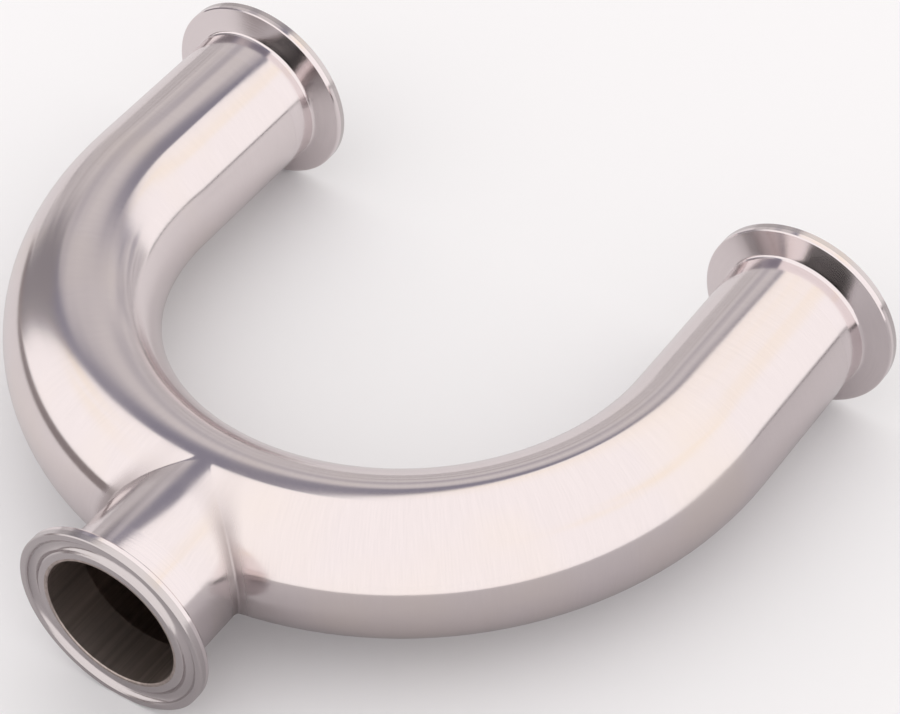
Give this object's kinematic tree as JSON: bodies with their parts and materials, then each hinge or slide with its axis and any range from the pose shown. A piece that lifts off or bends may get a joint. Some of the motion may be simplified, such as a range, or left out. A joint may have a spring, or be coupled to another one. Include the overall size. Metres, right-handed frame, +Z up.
{
  "type": "u-bend pipe fitting with clamp branch",
  "caption": "Polished stainless sanitary U-bend pipe with a short branch at the middle of the bend and clamp ferrules on every end.",
  "frame": {"origin": "under the middle of the part's outline, on the surface that it lies on", "axes": "+X across the two legs towards the right one, +Y along both legs towards their open ends, +Z up"},
  "size_m": [0.2106, 0.1676, 0.0505],
  "materials": {
    "tube_steel": "polished stainless tube with fine lengthwise grain",
    "ferrule_steel": "turned and polished stainless"
  },
  "bodies": {
    "root": {"u_bend_tube": "tube_steel", "left_ferrule": "ferrule_steel", "right_ferrule": "ferrule_steel", "branch_ferrule": "ferrule_steel"}
  },
  "joints": []
}
